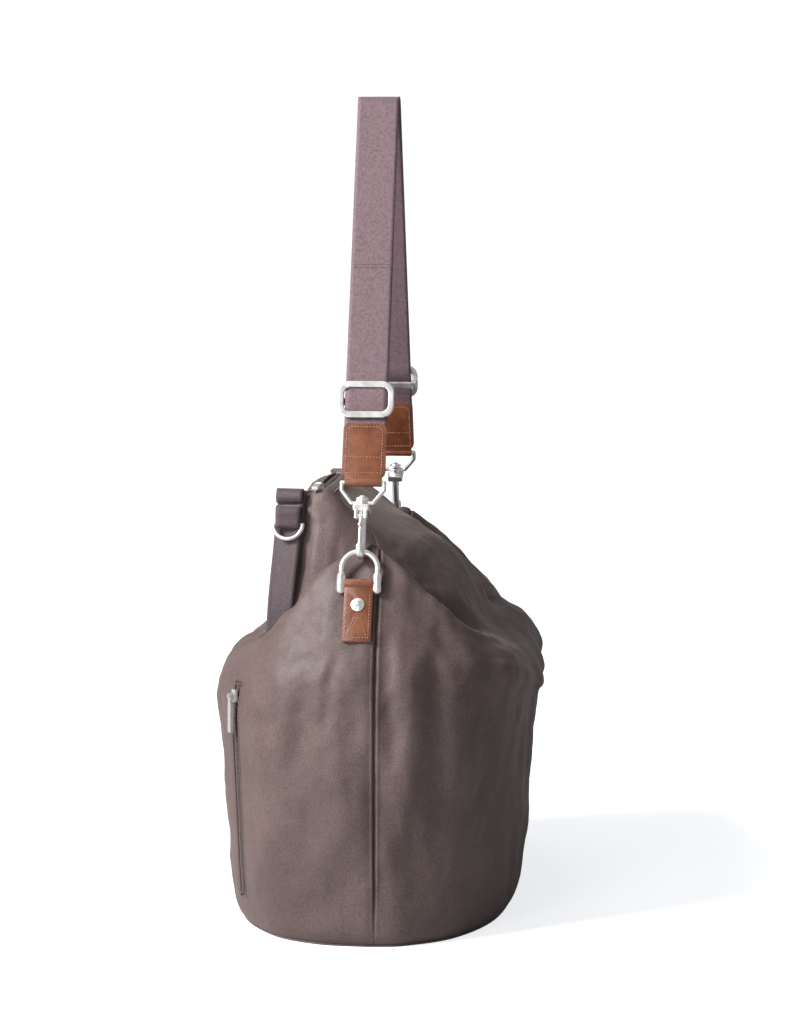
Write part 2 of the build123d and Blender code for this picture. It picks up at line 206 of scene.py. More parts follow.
def makeNickel():
    mat, tree, shader = newMaterial("satinNickel")
    place = tree.nodes.new("ShaderNodeTexCoord").outputs["Object"]
    smear = addNode(tree, "ShaderNodeTexNoise", Scale=160.0, Detail=4.0)
    fine = addNode(tree, "ShaderNodeTexNoise", Scale=2600.0, Detail=2.0)
    tree.links.new(place, smear.inputs["Vector"])
    tree.links.new(place, fine.inputs["Vector"])
    rough = ramp(tree, smear.outputs[0], [(0.3, (0.30, 0.30, 0.30)), (0.7, (0.42, 0.42, 0.42))])
    tree.links.new(rough, shader.inputs["Roughness"])
    base = ramp(tree, smear.outputs[0], [(0.3, (0.74, 0.73, 0.71)), (0.7, (0.84, 0.83, 0.81))])
    tree.links.new(base, shader.inputs["Base Color"])
    shader.inputs["Metallic"].default_value = 1.0
    bumpChain(tree, shader, [(fine.outputs[0], 0.10, 0.00004)])
    return mat


nickelMat = makeNickel()

webbingLook = {"colour": (0.150, 0.094, 0.108), "light": (0.195, 0.128, 0.146),
               "dark": (0.075, 0.046, 0.054), "rib": 0.0012, "yarn": 0.0013}


def makeWebbing(name, shade):
    # UV is in metres: U across the strap, V along it
    mat, tree, shader = newMaterial(name)
    links = tree.links
    uv = tree.nodes.new("ShaderNodeUVMap").outputs[0]
    parts = tree.nodes.new("ShaderNodeSeparateXYZ")
    links.new(uv, parts.inputs[0])
    across = mathNode(tree, "SINE",
                      mathNode(tree, "MULTIPLY", parts.outputs[0], 2 * math.pi / webbingLook["yarn"]))
    # neighbouring yarns pass over and under half a step apart
    shift = mathNode(tree, "MULTIPLY", mathNode(tree, "SIGN", across), math.pi / 2)
    along = mathNode(tree, "MULTIPLY", parts.outputs[1], 2 * math.pi / webbingLook["rib"])
    weave = mathNode(tree, "SINE", mathNode(tree, "ADD", along, shift))
    height = mathNode(tree, "ADD", mathNode(tree, "MULTIPLY", weave, 0.5),
                      mathNode(tree, "MULTIPLY", mathNode(tree, "ABSOLUTE", across), 0.5))
    cloud = addNode(tree, "ShaderNodeTexNoise", Scale=400.0, Detail=3.0)
    links.new(tree.nodes.new("ShaderNodeTexCoord").outputs["Object"], cloud.inputs["Vector"])
    level = mathNode(tree, "ADD", mathNode(tree, "MULTIPLY", height, 0.30), cloud.outputs[0])
    tones = [tuple(part * shade for part in webbingLook[tone]) for tone in ("dark", "colour", "light")]
    base = ramp(tree, level, list(zip((0.25, 0.6, 0.95), tones)))
    links.new(base, shader.inputs["Base Color"])
    shader.inputs["Roughness"].default_value = 0.58
    shader.inputs["Sheen Weight"].default_value = 0.35
    shader.inputs["Sheen Roughness"].default_value = 0.35
    shader.inputs["Sheen Tint"].default_value = (0.85, 0.68, 0.72, 1)
    bumpChain(tree, shader, [(height, 0.55, 0.00022)])
    return mat


webbingMat = makeWebbing("wovenWebbing", 1.0)
# painted shade: the woven webbing darkened to 0.42 for the strip, its loop and the zip's end tab, partly
# a darker weave and partly the shade they sit in
shadedStripWebbingMat = makeWebbing("shadedStripWebbing", 0.42)


def makeFabric(name, dark, light, step):
    mat, tree, shader = newMaterial(name)
    links = tree.links
    place = tree.nodes.new("ShaderNodeTexCoord").outputs["Object"]
    parts = tree.nodes.new("ShaderNodeSeparateXYZ")
    links.new(place, parts.inputs[0])
    waveZ = mathNode(tree, "SINE", mathNode(tree, "MULTIPLY", parts.outputs[2], 2 * math.pi / step))
    waveXy = mathNode(tree, "SINE",
                      mathNode(tree, "MULTIPLY", mathNode(tree, "ADD", parts.outputs[0],
                                                          parts.outputs[1]), 2 * math.pi / step))
    height = mathNode(tree, "MULTIPLY", waveZ, waveXy)
    cloud = addNode(tree, "ShaderNodeTexNoise", Scale=120.0, Detail=3.0)
    links.new(place, cloud.inputs["Vector"])
    level = mathNode(tree, "ADD", mathNode(tree, "MULTIPLY", height, 0.18), cloud.outputs[0])
    links.new(ramp(tree, level, [(0.3, dark), (0.7, light)]), shader.inputs["Base Color"])
    shader.inputs["Roughness"].default_value = 0.8
    shader.inputs["Sheen Weight"].default_value = 0.25
    bumpChain(tree, shader, [(height, 0.5, 0.0002)])
    return mat


tapeMat = makeFabric("zipTape", (0.030, 0.017, 0.017), (0.070, 0.040, 0.038), 0.0008)
liningMat = makeFabric("liningCloth", (0.10, 0.085, 0.07), (0.17, 0.145, 0.12), 0.0007)
threadMat = makeFabric("sewingThread", (0.080, 0.050, 0.042), (0.150, 0.100, 0.085), 0.0003)
tanThreadMat = makeFabric("tanThread", (0.26, 0.135, 0.085), (0.46, 0.28, 0.19), 0.0003)


def makePlastic(name, dark, light):
    mat, tree, shader = newMaterial(name)
    place = tree.nodes.new("ShaderNodeTexCoord").outputs["Object"]
    cloud = addNode(tree, "ShaderNodeTexNoise", Scale=240.0, Detail=4.0)
    tree.links.new(place, cloud.inputs["Vector"])
    tree.links.new(ramp(tree, cloud.outputs[0], [(0.3, dark), (0.7, light)]), shader.inputs["Base Color"])
    shader.inputs["Roughness"].default_value = 0.42
    bumpChain(tree, shader, [(cloud.outputs[0], 0.2, 0.0002)])
    return mat


teethMat = makePlastic("zipTeeth", (0.030, 0.018, 0.017), (0.060, 0.036, 0.034))
boardMat = makePlastic("baseBoard", (0.02, 0.02, 0.02), (0.04, 0.04, 0.04))
print("materials made")


# Each column runs up the leather from the base to the zip, in millimetres, for one quarter of the bag
bodyLook = {"lowRows": [(0.4, 124.0, 200.0), (7.0, 131.0, 206.0), (28.0, 134.5, 208.0),
                                                    (117.0, 141.0, 208.0), (192.0, 147.5, 207.0)],
            "power": 2.4, "seamX": 17.0, "up": 13, "thick": 0.0024}
roundSteps = [22] * 14 + [58] + [22] * 3      # finer beside the pocket zip
upperRows = {
    "seam": [(17, -201, 245), (17, -179, 297), (17, -159, 329), (16, -141, 347), (15, -125, 312),
             (12, -112, 336),
             (2, -99, 358), (-18, -93, 376), (-42.5, -87, 391)],
    "near": [(0, -201, 245), (0, -179, 297), (0, -160, 328), (1, -142, 348), (0, -127, 322),
             (-4, -115, 346),
             (-14, -101, 371), (-30, -94, 386), (-46, -88, 391)],
    "left1": [(-36, -197, 242), (-34, -180, 282), (-32, -165, 310), (-30, -150, 329), (-32, -130, 306),
              (-34, -119, 344),
              (-36, -101, 387), (-42, -94, 392), (-48.5, -88.5, 390)],
    "left2": [(-82, -179, 222), (-77, -170, 249), (-71, -162, 273), (-64, -152, 291), (-62, -128, 276),
              (-60, -112, 330),
              (-58, -97, 380), (-55, -92, 387), (-51, -88, 390)],
    "left3": [(-131, -111, 216), (-123, -110, 234), (-112, -107, 247), (-99, -103, 254), (-88, -94, 252),
              (-78, -84, 305),
              (-69, -72, 367), (-63, -70, 384), (-53.5, -68, 391)],
    "left": [(-147, 0, 210), (-139, 0, 228), (-125, 0, 241), (-110, 0, 250), (-97, 0, 262), (-84, 0, 312),
             (-72, 0, 370), (-64, 0, 386), (-53.5, 0, 391)],
    "right1": [(53, -197, 247), (51, -181, 277), (48, -167, 302), (44, -151, 321), (40, -122, 280),
               (38, -104, 316),
               (26, -88, 341), (-6, -84, 367), (-42.5, -80, 392)],
    "right2": [(106, -166, 240), (102, -160, 257), (96, -152, 271), (88, -142, 281), (76, -108, 264),
               (66, -84, 304),
               (42, -62, 336), (2, -60, 363), (-42.5, -58, 392)],
    "right3": [(145, -104, 226), (141, -99, 241), (133, -95, 252), (120, -88, 259), (100, -70, 266),
               (82, -52, 301),
               (52, -34, 336), (6, -32, 364), (-42.5, -30, 392)],
    "right": [(152, 0, 206), (148, 0, 222), (138, 0, 238), (122, 0, 251), (103, 0, 263), (86, 0, 300),
              (54, 0, 338), (6, 0, 365), (-42.5, 0, 391)],
}
columnPlan = [("seam", None), ("right1", 0.34), ("right2", 0.67), ("right3", 0.92), ("right", 1.0),
              ("right3", 0.92),
              ("right2", 0.67), ("right1", 0.34), ("seam", None), ("near", 0.0), ("left1", -0.30),
              ("left2", -0.62),
              ("left3", -0.90), ("left", -1.0), ("left3", -0.90), ("left2", -0.62), ("left1", -0.30),
              ("near", 0.0)]


def ovalPoint(fraction, halfWide, halfLong, side):
    x = bodyLook["seamX"] if fraction is None else fraction * halfWide
    along = max(0.0, 1 - abs(x / halfWide) ** bodyLook["power"]) ** (1 / bodyLook["power"])
    return (x, side * halfLong * along)


def columnPoints(index):
    name, fraction = columnPlan[index]
    side = -1 if index <= 3 or index >= 14 else 1
    points = []
    for height, halfWide, halfLong in bodyLook["lowRows"]:
        x, y = ovalPoint(fraction, halfWide, halfLong, side)
        points.append((x, y, height))
    for x, y, z in upperRows[name]:
        points.append((x, -side * y, z))
    return points


def smoothThrough(values, steps, closed):
    # Catmull-Rom curve through rows of points, with its number of steps in each span
    values = np.asarray(values, float)
    count = len(values)
    made = []
    for span, spanSteps in enumerate(steps):
        picks = []
        for offset in (-1, 0, 1, 2):
            place = span + offset
            picks.append(values[place % count] if closed else values[min(max(place, 0), count - 1)])
        before, start, end, after = picks
        for step in range(spanSteps):
            t = step / spanSteps
            made.append(0.5 * (2 * start + (end - before) * t
                               + (2 * before - 5 * start + 4 * end - after) * t * t
                               + (3 * start - before - 3 * end + after) * t ** 3))
    if not closed:
        made.append(values[-1])
    return np.array(made)


def bodyGrid():
    control = np.array([columnPoints(index) for index in range(len(columnPlan))])
    hoops = smoothThrough(control, roundSteps, True)
    upSteps = [bodyLook["up"]] * (control.shape[1] - 1)
    return smoothThrough(hoops.transpose(1, 0, 2), upSteps, False).transpose(1, 0, 2) * 0.001


# creases: start, end (mm), depth, half width; a positive depth sinks
creases = [
    ((70, -188, 285), (78, -196, 110), 6.5, 13), ((46, -204, 250), (54, -207, 90), -3.4, 15),
    ((104, -168, 230), (102, -176, 70), -3.4, 14), ((-18, -196, 258), (-30, -206, 190), 3.6, 8),
    ((-36, -192, 246), (-56, -198, 150), 3.6, 11), ((24, -192, 268), (34, -204, 170), 3.8, 9),
    ((104, -142, 262), (142, -70, 232), 5.2, 8), ((92, -150, 268), (122, -124, 236), 4.6, 7),
    ((70, -170, 276), (96, -168, 225), 4.2, 7), ((132, -130, 130), (108, -165, 60), 4.6, 8),
    ((140, -104, 100), (118, -150, 36), 4.0, 7), ((120, -146, 150), (92, -180, 90), 3.2, 9),
    ((-60, -180, 235), (-30, -190, 262), 2.0, 8), ((-90, -165, 190), (-60, -190, 120), 1.6, 14),
    ((-50, -110, 362), (-58, -118, 300), 4.6, 5), ((-24, -119, 352), (-28, -124, 320), 1.6, 5),
    ((40, -112, 350), (60, -110, 318), 3.0, 7), ((70, -92, 330), (104, -80, 292), 2.4, 7),
    ((-8, -200, 215), (14, -205, 150), 1.4, 14), ((30, -204, 110), (60, -205, 60), 1.8, 12),
    ((80, 190, 270), (86, 192, 120), 3.8, 13), ((-40, 190, 270), (-64, 192, 130), 3.0, 12),
    ((20, 198, 250), (44, 204, 120), 2.6, 10), ((110, 140, 262), (140, 80, 235), 3.0, 8),
    ((-96, 150, 220), (-70, 180, 130), 2.4, 12), ((150, 20, 200), (147, 30, 90), 2.6, 14),
    ((150, -50, 220), (146, -36, 110), 2.8, 13), ((146, 80, 210), (140, 92, 100), 2.4, 12),
    ((-146, 30, 190), (-142, 44, 80), 2.4, 14), ((-145, -30, 196), (-141, -22, 90), 2.2, 13),
    ((-140, 90, 190), (-132, 100, 90), 2.4, 12), ((60, 0, 348), (110, 20, 296), 2.6, 10),
    ((64, 40, 340), (112, 66, 286), 2.6, 9), ((62, -36, 344), (112, -52, 290), 2.4, 9),
    ((-78, 30, 340), (-90, 40, 280), 2.6, 9), ((-80, -30, 345), (-92, -44, 275), 2.4, 9),
    ((-120, 20, 240), (-146, 34, 190), 2.0, 9), ((-118, -50, 240), (-146, -50, 196), 1.8, 8),
]


def gridNormals(points):
    alongRound = np.roll(points, -1, 0) - np.roll(points, 1, 0)
    alongUp = np.gradient(points, axis=1)
    normal = np.cross(alongRound, alongUp)
    return normal / (np.linalg.norm(normal, axis=2, keepdims=True) + 1e-12)


def creaseAmount(points):
    total = np.zeros(points.shape[:2])
    for start, end, depth, width in creases:
        a = np.array(start) * 0.001
        b = np.array(end) * 0.001
        run = b - a
        part = np.clip(((points - a) @ run) / (run @ run), 0, 1)
        away = np.linalg.norm(points - (a + part[..., None] * run), axis=2)
        fade = 0.35 + 0.65 * np.sin(np.pi * np.clip(part, 0.03, 0.97))
        total -= depth * 0.001 * fade * np.exp(-(away / (width * 0.001)) ** 2)
    return total


def noiseAmount(points, scale, stretch, seed):
    flat = points.reshape(-1, 3)
    made = [noise.noise(Vector((p[0] * scale + seed, p[1] * scale, p[2] * scale * stretch)))
            for p in flat]
    return np.array(made).reshape(points.shape[:2])


# the pocket zip lies in a shallow channel; all in metres from the base up and along the leather
pocketLook = {"turn": math.radians(53), "off": 0.003, "low": 0.028, "high": 0.222, "half": 0.0058,
              "sink": 0.0042, "edge": 0.004, "calm": 0.03, "welt": 0.0066, "weltRadius": 0.0013,
              "sewn": 0.0108, "tape": 0.0118, "tapeThick": 0.0006}
# slack in the leather: scale, squeeze in height, seed and depth in metres
slackLook = [(15.0, 0.35, 3.0, 0.0052), (34.0, 0.6, 9.0, 0.0030), (90.0, 1.0, 17.0, 0.0009)]
# groove along each end seam, with the lips raised beside it
seamLook = {"depth": 0.0020, "half": 1.1, "lip": 0.0007, "lipAway": 2.4, "lipHalf": 0.8,
            "ridge": 7.4, "fade": 0.85}

grid = bodyGrid()
outward = gridNormals(grid)
low = np.clip((grid[..., 2] - 0.006) / 0.05, 0, 1)
calmTab = 1 - np.exp(-((grid[..., 0] / 0.018) ** 2)) * np.clip((grid[..., 2] - 0.24) / 0.02, 0, 1)
offPocket = (grid[..., 0] * math.sin(-pocketLook["turn"])
             + grid[..., 1] * math.cos(pocketLook["turn"]))
onPocketSide = (grid[..., 0] < -0.05) & (grid[..., 1] < -0.03)
calmPocket = (1 - np.exp(-((offPocket - pocketLook["off"]) / pocketLook["calm"]) ** 2)
              * onPocketSide * 0.85)
wander = sum(noiseAmount(grid, scale, squeeze, seed) * depth for scale, squeeze, seed, depth in slackLook)
push = (wander * calmTab * calmPocket + creaseAmount(grid) * calmPocket) * low
lipFade = np.clip((np.arange(grid.shape[1])[::-1]) / 16.0, 0, 1)
push = push * lipFade[None, :]
grid = grid + outward * push[..., None]
print("leather folds shaped", grid.shape)


inPocket = np.exp(-(np.abs(offPocket - pocketLook["off"]) / pocketLook["half"]) ** 4) * onPocketSide
aboveLow = np.clip((grid[..., 2] - pocketLook["low"] + pocketLook["edge"]) / pocketLook["edge"], 0, 1)
belowHigh = np.clip((pocketLook["high"] + pocketLook["edge"] - grid[..., 2]) / pocketLook["edge"], 0, 1)
inPocket = inPocket * aboveLow * belowHigh
grid = grid - outward * (inPocket * pocketLook["sink"])[..., None]

seamColumns = (0, sum(roundSteps[:8]))
for column in seamColumns:
    for away in (-3, -2, -1, 0, 1, 2, 3):
        pick = (column + away) % grid.shape[0]
        lip = seamLook["lip"] * math.exp(-((abs(away) - seamLook["lipAway"]) / seamLook["lipHalf"]) ** 2)
        sink = seamLook["depth"] * math.exp(-(away / seamLook["half"]) ** 2) - lip
        aboveRidge = np.clip((np.arange(grid.shape[1]) - seamLook["ridge"] * bodyLook["up"])
                             / bodyLook["up"], 0, 1)
        grid[pick] -= outward[pick] * (sink * low[pick] * (1 - seamLook["fade"] * aboveRidge))[:, None]


def meshFromGrid(name, points, material, closedRound=False):
    rows, cols = points.shape[:2]
    mesh = bpy.data.meshes.new(name)
    faces = []
    for row in range(rows if closedRound else rows - 1):
        follow = (row + 1) % rows
        for col in range(cols - 1):
            faces.append((row * cols + col, follow * cols + col, follow * cols + col + 1,
                          row * cols + col + 1))
    mesh.from_pydata(points.reshape(-1, 3).tolist(), [], faces)
    mesh.update()
    mesh.materials.append(material)
    obj = bpy.data.objects.new(name, mesh)
    bpy.context.scene.collection.objects.link(obj)
    selectOnly(obj)
    bpy.ops.object.shade_smooth()
    return obj


def applyModifier(obj, kind, **values):
    selectOnly(obj)
    modifier = obj.modifiers.new(kind.title(), kind)
    for key, value in values.items():
        setattr(modifier, key, value)
    bpy.ops.object.modifier_apply(modifier=modifier.name)


rightGrid = grid[:seamColumns[1] + 1]
leftGrid = np.concatenate([grid[seamColumns[1]:], grid[:1]])
panels = {}
for side, part in (("right", rightGrid), ("left", leftGrid)):
    panel = meshFromGrid(side + "LeatherPanel", part, softLeatherMat)
    applyModifier(panel, "SOLIDIFY", thickness=bodyLook["thick"], offset=-1.0, use_rim=True)
    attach(panel, "bag")
    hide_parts(side + "_panel")
    panels[side] = panel
print("leather panels made")

liningGrid = grid[::4, ::3] - outward[::4, ::3] * 0.0042
liningPiece = meshFromGrid("liningCloth", liningGrid, liningMat, closedRound=True)
applyModifier(liningPiece, "SOLIDIFY", thickness=0.0006, offset=-1.0, use_rim=True)
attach(liningPiece, "bag")
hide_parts("lining", "pocket_bag")


def ribbon(name, centres, across, width, thick, material, body, replaced, cells=10, crown=0.0):
    # a woven strip along its centre points; U runs across it and V along it, in metres
    centres = np.asarray(centres, float)
    across = np.asarray(across, float)
    if across.ndim == 1:
        across = np.repeat(across[None, :], len(centres), 0)
    ahead = np.gradient(centres, axis=0)
    ahead /= np.linalg.norm(ahead, axis=1, keepdims=True)
    face = np.cross(ahead, across)
    face /= np.linalg.norm(face, axis=1, keepdims=True)
    sides = np.linspace(-0.5, 0.5, cells + 1)
    points = centres[:, None, :] + across[:, None, :] * (sides * width)[None, :, None]
    points = points + face[:, None, :] * (crown * (1 - 4 * sides ** 2))[None, :, None]
    piece = meshFromGrid(name, points, material)
    length = np.concatenate([[0], np.cumsum(np.linalg.norm(np.diff(centres, axis=0), axis=1))])
    layer = piece.data.uv_layers.new(name="UVMap")
    count = cells + 1
    for loop in piece.data.loops:
        row, col = divmod(loop.vertex_index, count)
        layer.data[loop.index].uv = (sides[col] * width, length[row])
    applyModifier(piece, "SOLIDIFY", thickness=thick, offset=0.0, use_rim=True)
    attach(piece, body)
    if replaced:
        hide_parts(*replaced)
    return piece


def capsule(sides=8, rings=6):
    # one stitch, a metre long and half a metre across, along X
    points, faces = [], []
    for ring in range(rings + 1):
        lean = math.pi * ring / rings
        x = -0.5 * math.cos(lean)
        radius = 0.25 * math.sin(lean) ** 0.6 if 0 < ring < rings else 0.02
        for side in range(sides):
            turn = 2 * math.pi * side / sides
            points.append((x, radius * math.cos(turn), radius * math.sin(turn)))
    for ring in range(rings):
        for side in range(sides):
            after = (side + 1) % sides
            faces.append((ring * sides + side, (ring + 1) * sides + side, (ring + 1) * sides + after,
                          ring * sides + after))
    faces.append(tuple(range(sides)))
    faces.append(tuple(reversed([rings * sides + side for side in range(sides)])))
    return np.array(points), faces


stitchPoints, stitchFaces = capsule()


def stitches(name, runs, material, body, slot, pitch=0.0032, long=0.0024, wide=0.0009, rise=0.00012):
    # runs: lists of (point, outward normal); each run is sewn at an even pitch
    allPoints, allFaces = [], []
    for run in runs:
        places = np.array([place for place, _ in run], float)
        normals = np.array([normal for _, normal in run], float)
        steps = np.linalg.norm(np.diff(places, axis=0), axis=1)
        length = np.concatenate([[0], np.cumsum(steps)])
        count = max(2, int(length[-1] / pitch))
        for stitch in range(count):
            at = (stitch + 0.5) * length[-1] / count
            spot = np.array([np.interp(at, length, places[:, axis]) for axis in range(3)])
            ahead = np.array([np.interp(at + long / 2, length, places[:, axis]) for axis in range(3)])
            behind = np.array([np.interp(at - long / 2, length, places[:, axis]) for axis in range(3)])
            normal = np.array([np.interp(at, length, normals[:, axis]) for axis in range(3)])
            along = ahead - behind
            along /= np.linalg.norm(along) + 1e-12
            normal -= along * (normal @ along)
            normal /= np.linalg.norm(normal) + 1e-12
            across = np.cross(normal, along)
            first = len(allPoints)
            slant = 0.10
            for x, y, z in stitchPoints:
                dip = -0.25 * wide * (2 * x) ** 2
                allPoints.append(spot + along * x * long + across * (y * wide * 2 + slant * x * wide)
                                 + normal * (z * wide * 1.2 + rise + dip))
            allFaces.extend([tuple(first + index for index in face) for face in stitchFaces])
    mesh = bpy.data.meshes.new(name)
    mesh.from_pydata([tuple(point) for point in allPoints], [], allFaces)
    mesh.update()
    mesh.materials.append(material)
    piece = bpy.data.objects.new(name, mesh)
    bpy.context.scene.collection.objects.link(piece)
    selectOnly(piece)
    bpy.ops.object.mode_set(mode="EDIT")
    bpy.ops.mesh.select_all(action="SELECT")
    bpy.ops.mesh.normals_make_consistent(inside=False)
    bpy.ops.object.mode_set(mode="OBJECT")
    bpy.ops.object.shade_smooth()
    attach(piece, body)
    return piece


def softCopy(node, name, body, material, bevel=0.0004, segments=3):
    # a copy of a CAD node with its edges eased
    source = nodes[node]
    mesh = source.data.copy()
    piece = bpy.data.objects.new(name, mesh)
    bpy.context.scene.collection.objects.link(piece)
    selectOnly(piece)
    bpy.ops.object.mode_set(mode="EDIT")
    bpy.ops.mesh.select_all(action="SELECT")
    bpy.ops.mesh.remove_doubles(threshold=0.00001)
    bpy.ops.mesh.dissolve_limited(angle_limit=math.radians(1.5))
    bpy.ops.object.mode_set(mode="OBJECT")
    applyModifier(piece, "BEVEL", width=bevel, segments=segments, limit_method="ANGLE",
                  angle_limit=math.radians(40))
    mesh.materials.clear()
    mesh.materials.append(material)
    bpy.ops.object.shade_smooth_by_angle(angle=math.radians(40))
    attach(piece, body)
    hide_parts(node)
    return piece


def castCopy(node, name, body, voxel=0.0004, passes=5, swell=0.0, wider=1.0):
    # a copy of a CAD node with the rounded edges of polished cast metal
    piece = bpy.data.objects.new(name, nodes[node].data.copy())
    bpy.context.scene.collection.objects.link(piece)
    for vertex in piece.data.vertices:
        vertex.co.x *= wider
    applyModifier(piece, "REMESH", mode="VOXEL", voxel_size=voxel, use_smooth_shade=True)
    if swell:
        applyModifier(piece, "DISPLACE", strength=swell, mid_level=0.0)
    applyModifier(piece, "SMOOTH", factor=0.5, iterations=passes)
    piece.data.materials.clear()
    piece.data.materials.append(nickelMat)
    selectOnly(piece)
    bpy.ops.object.shade_smooth()
    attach(piece, body)
    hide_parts(node)
    return piece


# the strap: one webbing arch, its tail and the metal at both ends
pinY, pinZ, apexZ = 0.172, 0.319, 0.763
strapLean = math.atan2(pinY, apexZ - pinZ)
strapLook = {"width": 0.038, "thick": 0.0015, "start": 0.104, "bend": 0.009, "slider": 0.168,
             "tail": (0.150, 0.300)}
leanSin, leanCos = math.sin(strapLean), math.cos(strapLean)


def pullPoint(up, deep=0.0, x=0.0, end=-1):
    # up the pull line from a ring's pin, and deep towards the middle of the bag
    return (x, end * (pinY - up * leanSin - deep * leanCos), pinZ + up * leanCos - deep * leanSin)


def strapCentres():
    legLength = math.hypot(pinY, apexZ - pinZ)
    stop = legLength - strapLook["bend"] / math.tan(strapLean)
    ups = np.concatenate([np.linspace(strapLook["start"], 0.215, 60), np.linspace(0.219, stop, 60)])
    near = []
    for up in ups:
        away = up - strapLook["slider"]
        # out over the adjuster's bar, and in a little on both sides of it
        roll = -0.0026 * math.exp(-(away / 0.0062) ** 2) + 0.0007 * math.exp(-((abs(away) - 0.0145)
                                                                               / 0.004) ** 2)
        near.append(pullPoint(up, roll))
    middle = []
    centreZ = apexZ - strapLook["bend"] / math.sin(strapLean)
    for step in range(1, 16):
        turn = strapLean + (math.pi - 2 * strapLean) * step / 16
        middle.append((0, -strapLook["bend"] * math.cos(turn),
                       centreZ + strapLook["bend"] * math.sin(turn)))
    far = [(x, -y, z) for x, y, z in reversed(near)]
    return near + middle + far


ribbon("strapWebbing", strapCentres(), (1, 0, 0), strapLook["width"], strapLook["thick"], webbingMat,
       "strap", ["strap_webbing"], cells=12)
tailCentres = [pullPoint(up, 0.0019 + 0.0004 * math.exp(-((up - strapLook["slider"]) / 0.008) ** 2))
               for up in np.linspace(*strapLook["tail"], 70)]
ribbon("strapTail", tailCentres, (1, 0, 0), strapLook["width"], strapLook["thick"], webbingMat, "strap",
       ["strap_tail"], cells=12)
frontNormal = (0, -leanCos, leanSin)
rows = []
for up in (0.2935, 0.2965):
    rows.append([(pullPoint(up, -0.0008, x), frontNormal) for x in (-0.0165, 0.0165)])
stitches("strapTailStitches", rows, threadMat, "strap", "webbing", pitch=0.0030, long=0.0024, wide=0.0006)
metalLook = {"strap_slider": {"voxel": 0.00045, "passes": 6},
             "hook": {"voxel": 0.0003, "passes": 7, "swell": 0.0004, "wider": 1.35},
             "ring": {"voxel": 0.00035, "passes": 6, "swell": 0.0006},
             "hook_frame": {"voxel": 0.0003, "passes": 6, "swell": 0.0003},
             "hook_gate": {"voxel": 0.00025, "passes": 3},
             "strip_ring": {"voxel": 0.0003, "passes": 6, "swell": 0.0003}}
for end in ("near", "far"):
    castCopy(end + "_strap_slider", end + "StrapSlider", end + "_slider_body",
             **metalLook["strap_slider"])
    castCopy(end + "_hook", end + "SnapHook", end + "_hook_body", **metalLook["hook"])
    castCopy(end + "_ring", end + "StrapRing", end + "_ring_body", **metalLook["ring"])
    castCopy(end + "_hook_frame", end + "HookFrame", "strap", **metalLook["hook_frame"])
    castCopy(end + "_hook_gate", end + "HookGate", end + "_gate_body", **metalLook["hook_gate"])
print("strap made")


def rawEdges(piece, test):
    piece.data.materials.append(rawEdgeMat)
    for face in piece.data.polygons:
        if test(face.normal):
            face.material_index = 1


tabLook = {"wide": 0.0386, "start": 0.097, "end": 0.146, "skin": 0.0027, "inset": 0.0032, "cross": 0.0145,
           "rounding": 0.0035}
tabSewing = {"pitch": 0.0027, "long": 0.0018, "wide": 0.0009, "rise": 0.00016}
# rows sewn on each ring tab: across it, and down from the ring's pin
ringTabRows = [[(-0.0103, 0.010), (-0.0103, 0.0505)], [(0.0103, 0.010), (0.0103, 0.0505)],
               [(-0.0103, 0.0497), (0.0103, 0.0497)],
               [(-0.0085, 0.0485), (-0.003, 0.032), (0.003, 0.032), (0.0085, 0.0485)]]
for end, side in (("near", -1), ("far", 1)):
    strapTab = softCopy(end + "_strap_tab", end + "StrapTab", "strap", tanLeatherMat,
                        bevel=0.0005)
    rawEdges(strapTab, lambda normal: abs(normal.x) > 0.9)
    skins = [(-1, -tabLook["skin"]), (1, tabLook["skin"])]
    runs = []
    halfWide = tabLook["wide"] / 2 - tabLook["inset"]
    low, high = tabLook["start"] + tabLook["inset"], tabLook["end"] - tabLook["inset"]
    rounding = tabLook["rounding"]
    for facing, deep in skins:
        normal = (0, side * -facing * leanCos, -facing * leanSin)
        outline = [(-halfWide, low), (-halfWide, high - rounding), (-halfWide + rounding, high),
                   (halfWide - rounding, high), (halfWide, high - rounding), (halfWide, low),
                   (-halfWide, low)]
        crossRow = [(-halfWide, low + tabLook["cross"]), (halfWide, low + tabLook["cross"])]
        for shape in (outline, crossRow):
            runs.append([(pullPoint(up, deep, x, side), normal) for x, up in shape])
    stitches(end + "StrapTabStitches", runs, tanThreadMat, "strap", "tan_leather", **tabSewing)
    ringTab = softCopy(end + "_ring_tab", end + "RingTab", "bag", tanLeatherMat,
                       bevel=0.0005)
    rawEdges(ringTab, lambda normal: abs(normal.x) > 0.9 or normal.z < -0.8)
    softCopy(end + "_rivet", end + "Rivet", "bag", nickelMat, bevel=0.0005)
    tabTurn = math.atan2(0.1935 - pinY, pinZ - 0.271)
    down = Vector((0, side * math.sin(tabTurn), -math.cos(tabTurn)))
    out = Vector((0, side * math.cos(tabTurn), math.sin(tabTurn)))
    base = Vector((0, side * pinY, pinZ))
    runs = []
    for shape in ringTabRows:
        runs.append([(tuple(base + down * drop + out * 0.0022 + Vector((x, 0, 0))), tuple(out))
                     for x, drop in shape])
    stitches(end + "RingTabStitches", runs, tanThreadMat, "bag", "tan_leather", **tabSewing)
print("tabs made")

# the strap's other layer, drawn round the adjuster's bar
overBar = {"width": 0.0370, "thick": 0.0012, "half": 0.0125, "bulge": 0.0030, "lift": 0.0004}
for end, side in (("near", -1), ("far", 1)):
    drawn = []
    for turn in np.linspace(-1, 1, 25):
        bulge = overBar["bulge"] * math.sqrt(max(0.0, 1 - turn * turn)) + overBar["lift"]
        drawn.append(pullPoint(strapLook["slider"] + overBar["half"] * turn, -bulge, 0.0, side))
    ribbon(end + "StrapOverBar", drawn, (1, 0, 0), overBar["width"], overBar["thick"], webbingMat,
           end + "_slider_body", [], cells=10)
castCopy("key_ring", "stripRing", "key_ring_body", **metalLook["strip_ring"])

